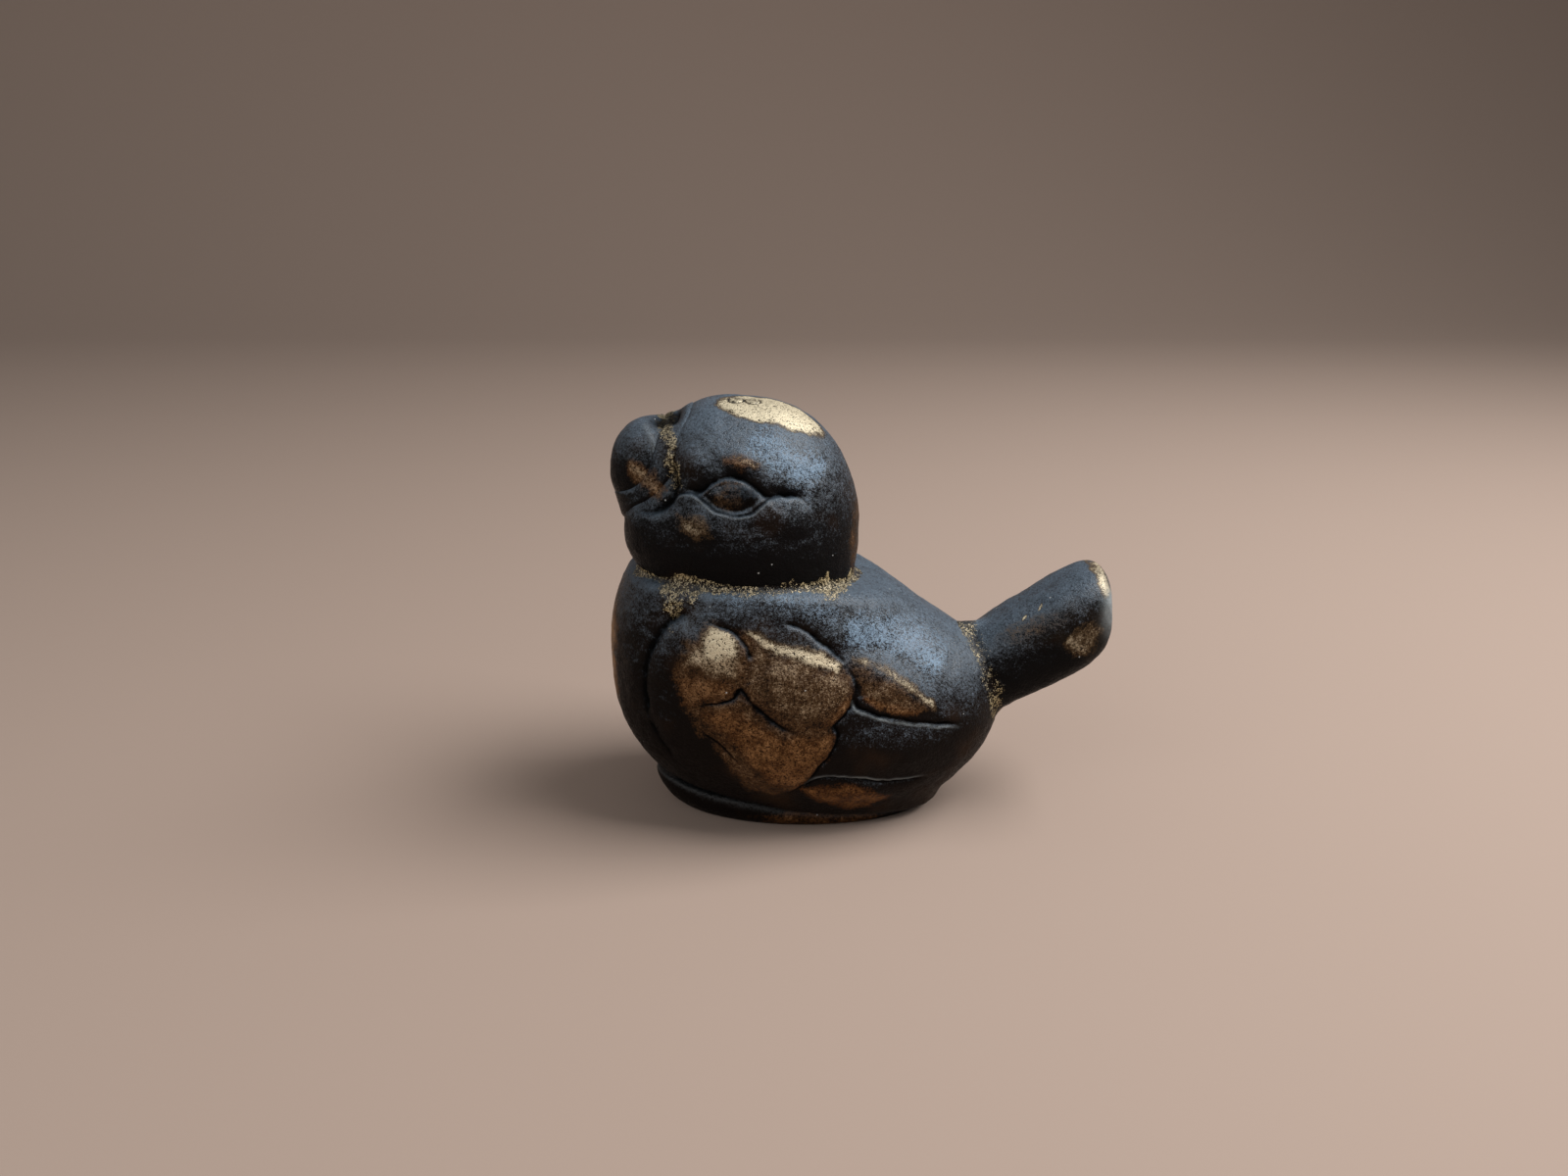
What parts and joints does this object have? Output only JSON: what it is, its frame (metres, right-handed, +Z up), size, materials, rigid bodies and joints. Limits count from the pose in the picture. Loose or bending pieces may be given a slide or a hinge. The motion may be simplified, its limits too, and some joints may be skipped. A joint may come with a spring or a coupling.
{
  "type": "metal bird figurine",
  "caption": "Plump hollow-cast metal bird ornament with folded wings, a blunt beak, a turned-up paddle tail and an oval base to stand on.",
  "frame": {"origin": "centre of the whole bird's outline box on the surface it stands on", "axes": "+Z up, the beak points along -X and the tail along +X, the bird's left side is -Y"},
  "size_m": [0.0597, 0.032, 0.0502],
  "materials": {
    "body_patina": "black-brown patina with a blue-grey sheen on top, worn through to orange and pale gold metal on the feathers",
    "head_patina": "black patina with a blue-grey sheen, worn to pale brass on the crown and a little on the brow",
    "beak_patina": "black patina worn to brass along the lower edge",
    "tail_patina": "black patina worn to brass on the rim",
    "base_patina": "dull dark brown patina",
    "braze": "rough granular filler, dull olive gold",
    "worn_brass": "pale brass rubbed bare"
  },
  "bodies": {
    "root": {"body_casting": "body_patina", "head_casting": "head_patina", "beak": "beak_patina", "tail": "tail_patina", "base_plate": "base_patina", "neck_braze": "braze", "beak_braze": "braze", "tail_braze": "braze", "crown_plug_front": "worn_brass", "crown_plug_rear": "worn_brass"}
  },
  "joints": []
}
